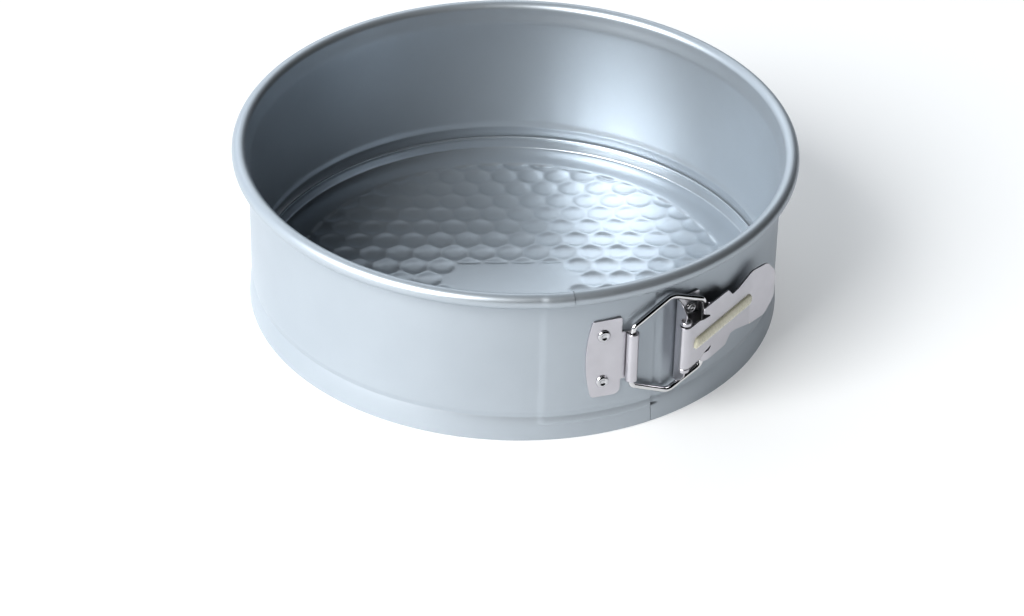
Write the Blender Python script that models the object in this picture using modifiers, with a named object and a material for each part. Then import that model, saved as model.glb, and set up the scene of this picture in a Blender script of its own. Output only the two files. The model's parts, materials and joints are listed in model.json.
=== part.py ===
"""A 23 cm springform cake pan: a spring-steel ring with an over-centre latch, and a loose base plate.

Units are metres, +Z is up, and the origin is on the ring's axis at table height. Azimuths are in degrees,
counter-clockwise seen from above, with 0 along -Y; the latch sits at about 35 degrees.
"""
import math

import bmesh
import bpy
from mathutils import Matrix, Vector

MM = 0.001

# The ring: a strip of sheet steel rolled into a hoop, with a curled rim, a bead and a flared skirt.
SHEET = 0.7 * MM
WALL_OUTSIDE = 115.0 * MM
WALL_MIDDLE = WALL_OUTSIDE - SHEET / 2
RIM_TOP = 75.8 * MM
RIM_OUTSIDE = 122.1 * MM
CURL_RADIUS = 2.85 * MM
CURL_CENTRE = RIM_OUTSIDE - SHEET / 2 - CURL_RADIUS
CURL_HEIGHT = RIM_TOP - SHEET / 2 - CURL_RADIUS
TURN_STEPS = 72

# Below the straight wall, in millimetres: height, and how far the sheet stands out from the wall.
SKIRT = [
    (15.2, 0.0), (13.6, -0.2), (12.3, -0.5), (11.3, -0.6), (10.2, -0.4), (8.6, 0.07),
    (6.3, 0.45), (3.0, 0.75), (0.15, 0.95),
]

# The ring's ends overlap: the outer strip ends at the seam, and an inner tongue runs on behind it.
SEAM = 30.6
CURL_SEAM = 12.0
TONGUE_END = 7.0
HINGE = SEAM - 180.0
CUT_GAP = 0.15
TRIM_HEIGHT = 67.0 * MM
TONGUE_THICKNESS = 0.6 * MM
TONGUE_MIDDLE = WALL_OUTSIDE - SHEET - 0.35 * MM - TONGUE_THICKNESS / 2
TONGUE_FOOT = 8.6
JOGGLE_FOOT = 16.6 * MM

# The base plate: a shallow dish whose raised edge sits inside the skirt.
BASE_SHEET = 0.8 * MM
BASE_FOOT = 112.0 * MM
BASE_EDGE = 114.0 * MM
BASE_EDGE_HEIGHT = 5.95 * MM

# The latch, all on one height, with upright pivots.
LATCH_HEIGHT = 38.6 * MM
CLEAR = 0.35 * MM
PLATE_SHEET = 0.8 * MM
WIRE = 1.25 * MM
PLATE_AZIMUTH = 19.0
PLATE_RADIUS = WALL_OUTSIDE + CLEAR + PLATE_SHEET / 2
PLATE_HALF = 19.2 * MM
PLATE_SIDE = 8.0 * MM
KNUCKLE_ALONG = 12.1 * MM
KNUCKLE_RADIUS = 2.15 * MM
KNUCKLE_HALF = 11.75 * MM
PLATE_RIVET_RISE = 11.4 * MM

LEVER_PIVOT = (122.6 * MM, 35.8)
WIRE_FAR_LEG = (118.8 * MM, 41.8)
BAIL_BEND_RISE = 23.9 * MM
BAIL_NEAR_RISE = 14.4 * MM
BAIL_FAR_RISE = 16.4 * MM

LEVER_DIRECTION = 55.0
LEVER_SHEET = 0.7 * MM
LEVER_ROLL = 2.3 * MM
PIN = 1.3 * MM
PIN_HALF = 12.4 * MM
LEVER_LENGTH = 62.0 * MM
PAD_START = 46.0 * MM
PAD_TILT = 8.0

BRACKET_SHEET = 0.7 * MM
BRACKET_RADIUS = WALL_OUTSIDE + CLEAR + BRACKET_SHEET / 2
BRACKET_HALF = 20.0 * MM
BRACKET_END = 49.0
BRACKET_RIVET_AZIMUTH = 39.4
BRACKET_RIVET_RISE = 12.9 * MM
EAR_REACH = 123.3 * MM
EAR_GAP = 10.75 * MM
EYE_RADIUS = 2.3 * MM
EYE_HEIGHT = 1.85 * MM
RIVET_SHANK = 1.4 * MM


def clear_scene():
    for item in list(bpy.data.objects):
        bpy.data.objects.remove(item, do_unlink=True)
    for group in list(bpy.data.collections):
        bpy.data.collections.remove(group)


def make_collection(name):
    group = bpy.data.collections.new(name)
    bpy.context.scene.collection.children.link(group)
    return group


def make_material(name, colour, roughness, metallic):
    material = bpy.data.materials.new(name)
    material.use_nodes = True
    shader = material.node_tree.nodes["Principled BSDF"]
    shader.inputs["Base Color"].default_value = (*colour, 1.0)
    shader.inputs["Roughness"].default_value = roughness
    shader.inputs["Metallic"].default_value = metallic
    return material


def place(radius, azimuth, height=0.0):
    """World point at a distance from the ring's axis, an azimuth and a height."""
    angle = math.radians(azimuth)
    return Vector((radius * math.sin(angle), -radius * math.cos(angle), height))


def tangent_frame(azimuth):
    """Frame at an azimuth: X along the ring, Y outward from its axis, Z up, with its origin on the axis."""
    angle = math.radians(azimuth)
    along = Vector((math.cos(angle), math.sin(angle), 0.0))
    outward = Vector((math.sin(angle), -math.cos(angle), 0.0))
    frame = Matrix.Identity(4)
    frame.col[0][:3] = along
    frame.col[1][:3] = -outward
    frame.col[2][:3] = Vector((0.0, 0.0, 1.0))
    return frame


def to_world(azimuth, along, outward, height):
    angle = math.radians(azimuth)
    x = along * math.cos(angle) + outward * math.sin(angle)
    y = along * math.sin(angle) - outward * math.cos(angle)
    return Vector((x, y, height))


def add_object(name, mesh, group, material=None):
    item = bpy.data.objects.new(name, mesh)
    group.objects.link(item)
    if material:
        item.data.materials.append(material)
        item.data.shade_smooth()
        item.data.set_sharp_from_angle(angle=math.radians(35))
    return item


def mesh_from(bm, name):
    bmesh.ops.recalc_face_normals(bm, faces=bm.faces)
    mesh = bpy.data.meshes.new(name)
    bm.to_mesh(mesh)
    bm.free()
    return mesh


def arc(centre, radius, first, last, steps):
    """Points of an arc in a plane, angles in degrees."""
    points = []
    for i in range(steps + 1):
        angle = math.radians(first + (last - first) * i / steps)
        points.append((centre[0] + radius * math.cos(angle), centre[1] + radius * math.sin(angle)))
    return points


def rounded(corners, steps=4, closed=True):
    """Polygon of (x, y, radius) corners with each corner replaced by an arc."""
    points = []
    count = len(corners)
    for i, (x, y, radius) in enumerate(corners):
        corner = Vector((x, y))
        if radius <= 0.0 or (not closed and i in (0, count - 1)):
            points.append((x, y))
            continue
        before = (Vector(corners[i - 1][:2]) - corner).normalized()
        after = (Vector(corners[(i + 1) % count][:2]) - corner).normalized()
        half = before.angle(after) / 2
        middle = corner + (before + after).normalized() * (radius / math.sin(half))
        start = corner + before * (radius / math.tan(half)) - middle
        end = corner + after * (radius / math.tan(half)) - middle
        turn = start.angle_signed(end)
        for k in range(steps + 1):
            spoke = start.copy()
            spoke.rotate(Matrix.Rotation(-turn * k / steps, 2))
            points.append(tuple(middle + spoke))
    return points


def turned(name, profile, group, material, thickness):
    """Sheet shape turned about Z from an open profile of (radius, height) points."""
    bm = bmesh.new()
    verts = [bm.verts.new((radius, 0.0, height)) for radius, height in profile]
    for first, second in zip(verts, verts[1:]):
        bm.edges.new((first, second))
    mesh = bpy.data.meshes.new(name)
    bm.to_mesh(mesh)
    bm.free()
    item = add_object(name, mesh, group, material)
    screw = item.modifiers.new("Turn", "SCREW")
    screw.axis = "Z"
    screw.angle = 2 * math.pi
    screw.steps = TURN_STEPS
    screw.render_steps = TURN_STEPS
    screw.use_merge_vertices = True
    screw.merge_threshold = 0.00001
    weld = item.modifiers.new("Weld", "WELD")
    weld.merge_threshold = 0.00001
    shell = item.modifiers.new("Sheet", "SOLIDIFY")
    shell.thickness = thickness
    shell.offset = 0.0
    shell.use_even_offset = True
    return item


def box_section(radii, heights):
    """Closed rectangular section between two radii and two heights."""
    return [(radii[0], heights[0]), (radii[1], heights[0]), (radii[1], heights[1]), (radii[0], heights[1])]


def sector(name, azimuths, section, group, step=5.0):
    """Solid between two azimuths, turned about Z from a closed section of (radius, height) points."""
    bm = bmesh.new()
    count = len(section)
    verts = [bm.verts.new(place(radius, azimuths[0], height)) for radius, height in section]
    edges = [bm.edges.new((verts[i], verts[(i + 1) % count])) for i in range(count)]
    angle = math.radians(azimuths[1] - azimuths[0])
    steps = max(1, round(math.degrees(angle) / step))
    bmesh.ops.spin(bm, geom=verts + edges, cent=(0, 0, 0), axis=(0, 0, 1), angle=angle, steps=steps)
    open_edges = [edge for edge in bm.edges if edge.is_boundary]
    bmesh.ops.holes_fill(bm, edges=open_edges, sides=count)
    return add_object(name, mesh_from(bm, name), group)


def turned_solid(name, profile, group, material):
    """Solid turned about Z from a (radius, height) profile whose ends lie on the axis."""
    bm = bmesh.new()
    verts = [bm.verts.new((radius, 0.0, height)) for radius, height in profile]
    edges = [bm.edges.new((first, second)) for first, second in zip(verts, verts[1:])]
    bmesh.ops.spin(bm, geom=verts + edges, cent=(0, 0, 0), axis=(0, 0, 1), angle=2 * math.pi, steps=16,
                   use_merge=True)
    bmesh.ops.remove_doubles(bm, verts=bm.verts, dist=0.00001)
    return add_object(name, mesh_from(bm, name), group, material)


def prism(name, outline, frame, near, far, group):
    """Flat outline in a frame's XZ plane, extruded along the frame's Y from near to far."""
    bm = bmesh.new()
    verts = [bm.verts.new(frame @ Vector((x, near, z))) for x, z in outline]
    face = bm.faces.new(verts)
    shift = frame.to_3x3() @ Vector((0.0, far - near, 0.0))
    grown = bmesh.ops.extrude_face_region(bm, geom=[face], use_keep_orig=True)
    moved = [element for element in grown["geom"] if isinstance(element, bmesh.types.BMVert)]
    bmesh.ops.translate(bm, verts=moved, vec=shift)
    return add_object(name, mesh_from(bm, name), group)


def cylinder(name, radius, centre, axis, length, group, material=None, sides=20, far_radius=None):
    """Round bar or cone along an axis, centred on a point."""
    bm = bmesh.new()
    last = radius if far_radius is None else far_radius
    bmesh.ops.create_cone(bm, cap_ends=True, segments=sides, radius1=radius, radius2=last, depth=length)
    turn = Vector((0, 0, 1)).rotation_difference(Vector(axis).normalized()).to_matrix().to_4x4()
    bmesh.ops.transform(bm, matrix=Matrix.Translation(centre) @ turn, verts=bm.verts)
    return add_object(name, mesh_from(bm, name), group, material)


def ribbon(name, path, half_height, thickness, group, material):
    """Bent sheet standing on a plan path of world points, about the latch's height."""
    bm = bmesh.new()
    low = [bm.verts.new((x, y, LATCH_HEIGHT - half_height)) for x, y in path]
    high = [bm.verts.new((x, y, LATCH_HEIGHT + half_height)) for x, y in path]
    for i in range(len(path) - 1):
        bm.faces.new((low[i], low[i + 1], high[i + 1], high[i]))
    item = add_object(name, mesh_from(bm, name), group, material)
    shell = item.modifiers.new("Sheet", "SOLIDIFY")
    shell.thickness = thickness
    shell.offset = 0.0
    shell.use_even_offset = True
    return item


def boolean(item, other, operation):
    cut = item.modifiers.new(operation.title() + " " + other.name, "BOOLEAN")
    cut.operation = operation
    cut.object = other
    cut.solver = "EXACT"
    other.hide_render = True
    other.display_type = "WIRE"
    return cut


def ring_profile():
    """Middle line of the strip from the curl's free end, over the rim and down to the skirt's edge."""
    curl = arc((CURL_CENTRE, CURL_HEIGHT), CURL_RADIUS, -125, 180, 15)
    flare = [
        (CURL_CENTRE - CURL_RADIUS - 0.15 * MM, CURL_HEIGHT - 1.6 * MM),
        (WALL_MIDDLE + 0.75 * MM, CURL_HEIGHT - 3.4 * MM),
        (WALL_MIDDLE + 0.15 * MM, CURL_HEIGHT - 5.2 * MM),
        (WALL_MIDDLE, CURL_HEIGHT - 6.6 * MM),
    ]
    skirt = [(WALL_MIDDLE + out * MM, height * MM) for height, out in SKIRT]
    return curl + flare + skirt


def tongue_section():
    """Closed section of the tongue, which follows the wall and its bead at a small clearance."""
    line = [(TONGUE_MIDDLE, TRIM_HEIGHT - 0.5 * MM)]
    line += [(TONGUE_MIDDLE + out * MM, height * MM) for height, out in SKIRT if height >= TONGUE_FOOT]
    half = TONGUE_THICKNESS / 2
    outer = [(radius + half, height) for radius, height in line]
    inner = [(radius - half, height) for radius, height in line]
    return outer + inner[::-1]


def rivet_hole(item, azimuth, rise, group, label):
    hole = cylinder(
        "cut_" + label, RIVET_SHANK + 0.3 * MM, place(WALL_OUTSIDE, azimuth, LATCH_HEIGHT + rise),
        place(1.0, azimuth), 8 * MM, group,
    )
    boolean(item, hole, "DIFFERENCE")


def make_band_left(parts, cutters, material):
    item = turned("band_left", ring_profile(), parts, material, SHEET)
    across = (100 * MM, 140 * MM)
    gone = sector("cut_left_open", (SEAM - CUT_GAP, SEAM + 180 - CUT_GAP / 2),
                  box_section(across, (-5 * MM, 90 * MM)), cutters)
    boolean(item, gone, "DIFFERENCE")
    top = sector("cut_left_curl", (CURL_SEAM - CUT_GAP / 2, SEAM + 2),
                 box_section(across, (TRIM_HEIGHT - 0.15 * MM, 90 * MM)), cutters)
    boolean(item, top, "DIFFERENCE")
    for label, rise in (("upper", PLATE_RIVET_RISE), ("lower", -PLATE_RIVET_RISE)):
        rivet_hole(item, PLATE_AZIMUTH, rise, cutters, "band_left_" + label)
    return item


def make_band_right(parts, cutters, material):
    item = turned("band_right", ring_profile(), parts, material, SHEET)
    across = (100 * MM, 140 * MM)
    below = sector("cut_right_below", (HINGE - CUT_GAP / 2, SEAM + CUT_GAP / 2),
                   box_section(across, (-5 * MM, TRIM_HEIGHT + 0.15 * MM)), cutters)
    boolean(item, below, "DIFFERENCE")
    above = sector("cut_right_curl", (HINGE - CUT_GAP / 2, CURL_SEAM + CUT_GAP / 2),
                   box_section(across, (TRIM_HEIGHT - 1 * MM, 90 * MM)), cutters)
    boolean(item, above, "DIFFERENCE")
    tongue = sector("add_tongue", (TONGUE_END, SEAM + 2), tongue_section(), cutters)
    boolean(item, tongue, "UNION")
    bridge = box_section((TONGUE_MIDDLE - 0.2 * MM, WALL_OUTSIDE - 0.1 * MM),
                         (JOGGLE_FOOT, TRIM_HEIGHT - 1 * MM))
    boolean(item, sector("add_joggle", (SEAM + 0.7, SEAM + 2.2), bridge, cutters), "UNION")
    for label, rise in (("upper", BRACKET_RIVET_RISE), ("lower", -BRACKET_RIVET_RISE)):
        rivet_hole(item, BRACKET_RIVET_AZIMUTH, rise, cutters, "band_right_" + label)
    return item


def make_base(parts, material):
    profile = [
        (BASE_EDGE, BASE_EDGE_HEIGHT),
        (BASE_FOOT + 0.55 * MM, 0.9 * MM),
        (BASE_FOOT, BASE_SHEET / 2),
        (60 * MM, BASE_SHEET / 2),
        (0.0, BASE_SHEET / 2),
    ]
    return turned("base_plate", profile, parts, material, BASE_SHEET)


def make_rivet(name, azimuth, rise, seat, parts, material):
    """Low round head on a shank that ends flush inside the wall."""
    head = 1.0 * MM
    inside = WALL_OUTSIDE - SHEET + 0.1 * MM
    profile = [
        (0.0, seat + head), (1.3 * MM, seat + head), (2.15 * MM, seat + 0.55 * head),
        (2.4 * MM, seat), (RIVET_SHANK, seat), (RIVET_SHANK, inside), (0.0, inside),
    ]
    item = turned_solid(name, profile, parts, material)
    turn = Vector((0, 0, 1)).rotation_difference(place(1.0, azimuth)).to_matrix().to_4x4()
    item.data.transform(Matrix.Translation((0, 0, LATCH_HEIGHT + rise)) @ turn)
    return item


def make_hinge_plate(parts, cutters, material):
    """Riveted plate whose end is rolled round the bail wire."""
    flat = [(-11 * MM, PLATE_RADIUS)]
    roll_centre = (KNUCKLE_ALONG, PLATE_RADIUS + KNUCKLE_RADIUS)
    roll = arc(roll_centre, KNUCKLE_RADIUS, -90, 205, 16)
    path = [to_world(PLATE_AZIMUTH, along, outward, 0.0)[:2] for along, outward in flat + roll]
    item = ribbon("hinge_plate", path, PLATE_HALF, PLATE_SHEET, parts, material)
    left = arc((62.6 * MM, 0.0), 70 * MM, 164.3, 195.9, 6)
    right = [
        (PLATE_SIDE, -PLATE_HALF, 3 * MM), (PLATE_SIDE, -KNUCKLE_HALF, 0.6 * MM),
        (19 * MM, -KNUCKLE_HALF, 0), (19 * MM, KNUCKLE_HALF, 0), (PLATE_SIDE, KNUCKLE_HALF, 0.6 * MM),
        (PLATE_SIDE, PLATE_HALF, 1.2 * MM),
    ]
    ends = [(*left[-1], 0), (*left[0], 0)]
    outline = left + rounded(ends[:1] + right + ends[1:], closed=False)[1:-1]
    frame = Matrix.Translation((0, 0, LATCH_HEIGHT)) @ tangent_frame(PLATE_AZIMUTH)
    shape = prism("cut_hinge_plate", outline, frame, -130 * MM, -100 * MM, cutters)
    boolean(item, shape, "INTERSECT")
    for label, rise in (("upper", PLATE_RIVET_RISE), ("lower", -PLATE_RIVET_RISE)):
        rivet_hole(item, PLATE_AZIMUTH, rise, cutters, "hinge_plate_" + label)
    return item


def knuckle_axis():
    return to_world(PLATE_AZIMUTH, KNUCKLE_ALONG, PLATE_RADIUS + KNUCKLE_RADIUS, LATCH_HEIGHT)


def make_bail(parts, material):
    """Closed six-sided wire loop: one leg in the rolled knuckle, the other behind the lever."""
    start = knuckle_axis()
    end = place(*WIRE_FAR_LEG, LATCH_HEIGHT)
    length = (end - start).length
    along = (end - start).normalized()
    middle = 0.53 * length
    half = [(0.0, BAIL_NEAR_RISE, 2.5 * MM), (middle, BAIL_BEND_RISE, 5 * MM), (length, BAIL_FAR_RISE, 3.5 * MM)]
    corners = half + [(run, -rise, radius) for run, rise, radius in reversed(half)]
    curve = bpy.data.curves.new("bail_wire", "CURVE")
    curve.dimensions = "3D"
    curve.bevel_depth = WIRE
    curve.bevel_resolution = 2
    points = rounded(corners)
    spline = curve.splines.new("POLY")
    spline.points.add(len(points) - 1)
    spline.use_cyclic_u = True
    for point, (run, rise) in zip(spline.points, points):
        point.co = (*(along * run + Vector((0, 0, rise))), 1.0)
    item = bpy.data.objects.new("bail_wire", curve)
    item.location = start
    curve.materials.append(material)
    parts.objects.link(item)
    return item


def lever_point(along, outward):
    """Plan position in the lever's own frame, whose origin is the lever's pivot."""
    angle = math.radians(LEVER_DIRECTION)
    pivot = place(*LEVER_PIVOT)
    x = pivot.x + along * math.cos(angle) + outward * math.sin(angle)
    y = pivot.y + along * math.sin(angle) - outward * math.cos(angle)
    return (x, y)


def lever_frame():
    """Frame on the lever's pivot: X along the lever, Y towards the wall, Z up."""
    return Matrix.Translation(place(*LEVER_PIVOT, LATCH_HEIGHT)) @ tangent_frame(LEVER_DIRECTION)


def lever_outline():
    """Half of the lever's outline above its middle line, from the rolled end to the thumb pad."""
    return [
        (-6 * MM, 10.3 * MM, 0), (9.2 * MM, 10.3 * MM, 0), (9.2 * MM, 14.2 * MM, 0.8 * MM),
        (28 * MM, 13.9 * MM, 2.0 * MM), (31.5 * MM, 10.0 * MM, 1.5 * MM), (36 * MM, 10.4 * MM, 3 * MM),
        (47 * MM, 13.6 * MM, 4 * MM), (56.5 * MM, 13.2 * MM, 5 * MM), (LEVER_LENGTH, 6.5 * MM, 5 * MM),
    ]


def make_lever(parts, cutters, material):
    roll = arc((0.0, 0.0), LEVER_ROLL, -35, -270, 14)
    pad = math.radians(PAD_TILT)
    reach = LEVER_LENGTH + 2 * MM - PAD_START
    pad_end = (PAD_START + reach * math.cos(pad), LEVER_ROLL + reach * math.sin(pad))
    plan = roll + [(PAD_START, LEVER_ROLL), pad_end]
    path = [lever_point(along, outward) for along, outward in plan]
    item = ribbon("latch_lever", path, 15 * MM, LEVER_SHEET, parts, material)
    upper = lever_outline()
    lower = [(x, -z, radius) for x, z, radius in reversed(upper)]
    frame = lever_frame()
    shape = prism("cut_lever", rounded(lower + upper), frame, -20 * MM, 10 * MM, cutters)
    boolean(item, shape, "INTERSECT")
    for label, side in (("upper", 1), ("lower", -1)):
        low = min(side * 9.0 * MM, side * 9.5 * MM)
        slit = [(8 * MM, low), (16 * MM, low), (16 * MM, low + 0.5 * MM), (8 * MM, low + 0.5 * MM)]
        boolean(item, prism("cut_slit_" + label, slit, frame, -6 * MM, 6 * MM, cutters), "DIFFERENCE")
        hook = [(16.9 * MM, LEVER_ROLL), (15.15 * MM, LEVER_ROLL - 0.9 * MM), (15.15 * MM, -2.4 * MM),
                (14.6 * MM, -2.95 * MM), (12.4 * MM, -2.95 * MM)]
        hook_path = [lever_point(along, outward) for along, outward in hook]
        tab = ribbon("add_hook_" + label, hook_path, 2.1 * MM, LEVER_SHEET, cutters, None)
        tab.location.z = side * 12.0 * MM
        boolean(item, tab, "UNION")
    rib_line = arc((44 * MM, 0.0), 1.6 * MM, -90, 90, 6) + arc((5.5 * MM, 0.0), 1.6 * MM, 90, 270, 6)
    outer = LEVER_ROLL + LEVER_SHEET / 2
    rib = prism("add_rib", rib_line, frame, -outer - 0.8 * MM, -LEVER_ROLL, cutters)
    boolean(item, rib, "UNION")
    return item


def make_bracket(parts, cutters, material):
    """Riveted bracket: a curved foot on the wall, and a standing flange whose ears end in eyes for the pin."""
    azimuth = LEVER_PIVOT[1]
    tip = place(EAR_REACH + 1 * MM, azimuth)
    foot = place(BRACKET_RADIUS + 1 * MM, azimuth)
    corner = to_world(azimuth, 0.3 * MM, BRACKET_RADIUS + 0.25 * MM, 0.0)
    first = azimuth + 0.6
    wall = [place(BRACKET_RADIUS, first + (BRACKET_END - first) * i / 6) for i in range(7)]
    path = [point[:2] for point in [tip, foot, corner] + wall]
    item = ribbon("lever_bracket", path, BRACKET_HALF, BRACKET_SHEET, parts, material)
    half = [
        (119.3 * MM, EAR_GAP, 0), (EAR_REACH, EAR_GAP, 0), (EAR_REACH, 15.4 * MM, 3 * MM),
        (120.6 * MM, 18.8 * MM, 3 * MM), (117.6 * MM, BRACKET_HALF, 2 * MM), (90 * MM, BRACKET_HALF, 0),
    ]
    side = [(-x, z, radius) for x, z, radius in half] + [(-x, -z, radius) for x, z, radius in reversed(half)]
    frame = Matrix.Translation((0, 0, LATCH_HEIGHT)) @ tangent_frame(azimuth + 90)
    boolean(item, prism("cut_bracket", rounded(side), frame, -60 * MM, 60 * MM, cutters), "INTERSECT")
    for label, sign in (("upper", 1), ("lower", -1)):
        # The foot leaves room for the lever's hooks, and its corner tip stays beyond them.
        for number, (start, low, high) in enumerate(((40.55, 8.8, 15.4), (41.8, 8.0, 25.0))):
            heights = sorted((LATCH_HEIGHT + sign * low * MM, LATCH_HEIGHT + sign * high * MM))
            room = box_section((112 * MM, 118 * MM), heights)
            boolean(item, sector(f"cut_hook_{label}_{number}", (start, 52), room, cutters), "DIFFERENCE")
        rivet_hole(item, BRACKET_RIVET_AZIMUTH, sign * BRACKET_RIVET_RISE, cutters, "bracket_" + label)
        middle = place(*LEVER_PIVOT, LATCH_HEIGHT + sign * (EAR_GAP + EYE_HEIGHT / 2))
        eye = cylinder("add_eye_" + label, EYE_RADIUS, middle, (0, 0, 1), EYE_HEIGHT, cutters)
        boolean(item, eye, "UNION")
    hole = cylinder("cut_pin_holes", PIN + 0.3 * MM, place(*LEVER_PIVOT, LATCH_HEIGHT), (0, 0, 1),
                    2 * (EAR_GAP + EYE_HEIGHT) + 0.6 * MM, cutters)
    boolean(item, hole, "DIFFERENCE")
    return item


def make_pin(parts, material):
    """Plain pin of the lever, held in the bracket's eyes."""
    edge = PIN - 0.3 * MM
    shoulder = PIN_HALF - 0.3 * MM
    upper = [(0.0, PIN_HALF), (edge, PIN_HALF), (PIN, shoulder)]
    profile = upper + [(radius, -height) for radius, height in reversed(upper)]
    item = turned_solid("lever_pin", profile, parts, material)
    item.location = place(*LEVER_PIVOT, LATCH_HEIGHT)
    return item


def main():
    clear_scene()
    parts = make_collection("springform_pan")
    cutters = make_collection("cutters")
    coated = make_material("coated_steel", (0.42, 0.46, 0.52), 0.38, 0.7)
    nickel = make_material("nickel_plate", (0.62, 0.60, 0.64), 0.3, 1.0)
    chrome = make_material("chrome_wire", (0.8, 0.8, 0.8), 0.12, 1.0)
    make_base(parts, coated)
    make_band_left(parts, cutters, coated)
    make_band_right(parts, cutters, coated)
    make_hinge_plate(parts, cutters, nickel)
    make_bail(parts, chrome)
    make_lever(parts, cutters, nickel)
    make_bracket(parts, cutters, nickel)
    make_pin(parts, chrome)
    plate_seat = PLATE_RADIUS + PLATE_SHEET / 2 + 0.3 * MM
    bracket_seat = BRACKET_RADIUS + BRACKET_SHEET / 2 + 0.3 * MM
    make_rivet("hinge_rivet_upper", PLATE_AZIMUTH, PLATE_RIVET_RISE, plate_seat, parts, chrome)
    make_rivet("hinge_rivet_lower", PLATE_AZIMUTH, -PLATE_RIVET_RISE, plate_seat, parts, chrome)
    make_rivet("bracket_rivet_upper", BRACKET_RIVET_AZIMUTH, BRACKET_RIVET_RISE, bracket_seat, parts, chrome)
    make_rivet("bracket_rivet_lower", BRACKET_RIVET_AZIMUTH, -BRACKET_RIVET_RISE, bracket_seat, parts, chrome)


main()
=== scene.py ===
"""Looks of the springform pan: the fine surfaces, the materials, the studio and the camera.

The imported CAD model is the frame. Its pieces' lengths are millimetres here, and metres once a mesh is made.
Azimuths are degrees, counter-clockwise seen from above, with 0 along -Y; the latch sits at about 35.
"""
import json
import math

import bmesh
import bpy
from mathutils import Matrix, Vector
from mathutils.geometry import delaunay_2d_cdt


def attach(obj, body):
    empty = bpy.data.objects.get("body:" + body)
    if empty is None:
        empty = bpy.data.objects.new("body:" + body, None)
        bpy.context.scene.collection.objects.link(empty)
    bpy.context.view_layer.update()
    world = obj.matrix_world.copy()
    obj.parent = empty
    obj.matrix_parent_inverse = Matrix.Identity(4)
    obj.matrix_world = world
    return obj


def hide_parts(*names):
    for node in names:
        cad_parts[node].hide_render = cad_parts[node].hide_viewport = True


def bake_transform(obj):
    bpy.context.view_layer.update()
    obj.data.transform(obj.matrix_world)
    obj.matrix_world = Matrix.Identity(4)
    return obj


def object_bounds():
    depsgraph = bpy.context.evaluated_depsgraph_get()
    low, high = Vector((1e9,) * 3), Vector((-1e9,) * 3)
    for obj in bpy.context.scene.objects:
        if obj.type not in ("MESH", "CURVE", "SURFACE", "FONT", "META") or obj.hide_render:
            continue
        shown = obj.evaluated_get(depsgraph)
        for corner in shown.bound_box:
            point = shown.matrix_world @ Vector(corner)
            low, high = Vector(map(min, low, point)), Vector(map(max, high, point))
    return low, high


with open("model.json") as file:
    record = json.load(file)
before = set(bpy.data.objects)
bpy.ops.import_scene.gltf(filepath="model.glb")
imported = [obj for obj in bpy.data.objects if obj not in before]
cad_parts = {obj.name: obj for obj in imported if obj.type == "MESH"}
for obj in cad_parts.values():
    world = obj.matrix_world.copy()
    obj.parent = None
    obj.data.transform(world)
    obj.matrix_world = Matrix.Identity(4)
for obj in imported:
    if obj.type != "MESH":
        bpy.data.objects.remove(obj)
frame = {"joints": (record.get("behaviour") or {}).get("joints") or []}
CAD_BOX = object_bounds()

MM = 0.001
JOINTS = {joint["name"]: joint for joint in frame["joints"]}

# The ring's strip with its rolled rim. The wall's and the curl's radii are to the sheet's middle.
SHEET = 0.7
RIM_OUTSIDE = CAD_BOX[1].x / MM
RIM_TOP = CAD_BOX[1].z / MM
WALL_MIDDLE = RIM_OUTSIDE - 7.45
CURL_RADIUS = 2.85
CURL_CENTRE = RIM_OUTSIDE - SHEET / 2 - CURL_RADIUS
CURL_HEIGHT = RIM_TOP - SHEET / 2 - CURL_RADIUS
CURL_STEPS = 30
# The bead and the skirt below the straight wall: height, and how far the sheet stands out from the wall.
SKIRT = [
    (0.3, 0.95), (3.0, 0.75), (6.3, 0.45), (9.0, 0.0), (10.1, -0.27), (10.9, -0.51), (11.35, -0.6),
    (11.8, -0.56), (12.5, -0.40), (13.4, -0.18), (14.4, -0.04), (15.4, 0.0),
]
FLARE_START = 66.2

# Its overlapping ends, as azimuths: the inner tongue's end, the curl's seam and the outer end at the seam.
TONGUE_END = 7.0
CURL_SEAM = 12.0
SEAM = 30.6
SEAM_GAP = 0.07
# Where they overlap, the tongue steps in and the outer end bulges out, from the tongue's foot upwards.
TONGUE_SHIFT = -0.62
OUTER_BULGE = 0.42
TONGUE_FOOT = 8.5
# The strip's top where it has no curl.
STRIP_TOP = 66.6

# The base plate, from its floor over a crease at the foot up to its hemmed edge.
BASE_TOP = 0.8
BASE_SHEET = 0.5
FLOOR_EDGE = 111.3
FOOT_RADIUS = 112.0
EDGE_RADIUS = 113.95
EDGE_HEIGHT = 5.95
# The dimples, in rows that are turned a little from the X axis, with the origin on one dimple's middle.
FIELD_RADIUS = 98.4
PITCH = 12.2
FIELD_TURN = 3.0
FIELD_ORIGIN = (-0.6, 2.6)
DIMPLE_DEPTH = 0.65
DIMPLE_RADIUS = 5.9
CELL_STEPS = 7
# The plain panel: how far to either side it cuts into each row of dimples, and its half height.
PANEL_CELLS = {-1: 18.5, 0: 24.5, 1: 18.5}
PANEL_REACH = 12.6

# The latch, with upright pivots. Its heights are measured from the pivots' middle.
LEVER_PIVOT = Vector(JOINTS["lever_swing"]["pos_m"]) / MM
KNUCKLE_AXIS = Vector(JOINTS["bail_swing"]["pos_m"]) / MM
LATCH_HEIGHT = LEVER_PIVOT.z
# The riveted plate, whose end is rolled round the bail wire.
PLATE_AZIMUTH = 19.0
PLATE_SHEET = 0.8
PLATE_RADIUS = WALL_MIDDLE + SHEET / 2 + 0.35 + PLATE_SHEET / 2
PLATE_HALF = 19.2
PLATE_SIDE = 8.0
KNUCKLE_ALONG = 12.1
KNUCKLE_RADIUS = 2.15
KNUCKLE_HALF = 11.75
KNUCKLE_TURN = 295.0
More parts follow.
